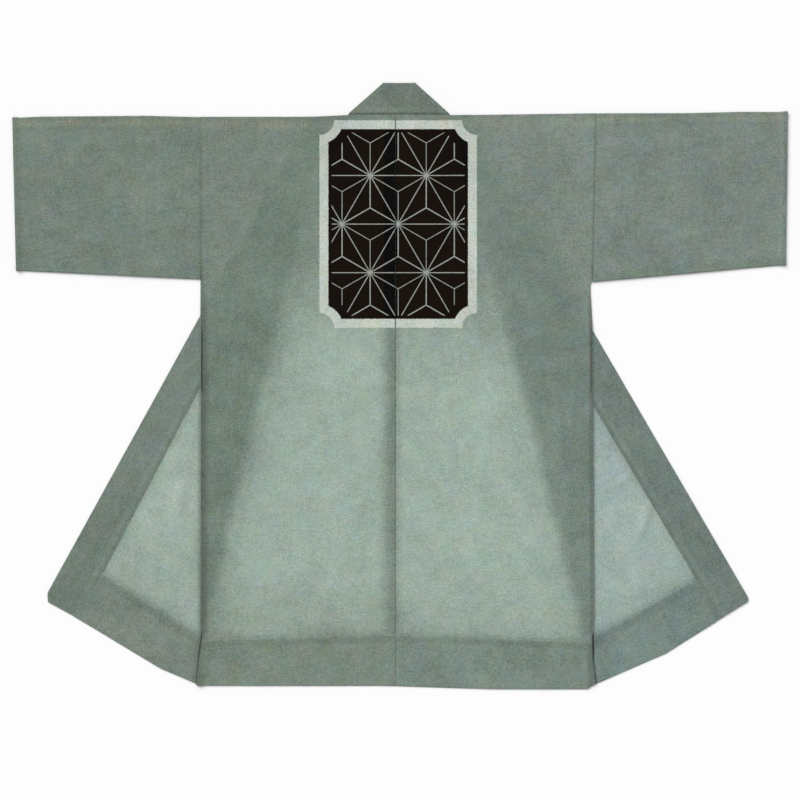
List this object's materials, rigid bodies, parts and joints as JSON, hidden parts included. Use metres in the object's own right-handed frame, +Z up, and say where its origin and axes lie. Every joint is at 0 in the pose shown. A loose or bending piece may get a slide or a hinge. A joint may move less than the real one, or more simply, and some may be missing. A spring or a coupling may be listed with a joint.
{
  "type": "hanten",
  "caption": "Short unlined coat of sheer cloth with straight sleeves and a long collar strip, laid flat with its back up and its fronts folded out.",
  "frame": {"origin": "on the surface that it lies on, under the centre of the bounding box", "axes": "+X towards the sleeve on the right as seen from above, +Y towards the collar, +Z up from the surface, out of the back"},
  "size_m": [1.2696, 0.9937, 0.0054],
  "materials": {
    "cloth": "sheer plain weave with uneven threads, grey green, matt",
    "collar_cloth": "the same cloth sewn double, so darker"
  },
  "bodies": {
    "root": {"body_left": "cloth", "body_right": "cloth", "sleeve_left": "cloth", "sleeve_right": "cloth", "collar": "collar_cloth"}
  },
  "joints": []
}
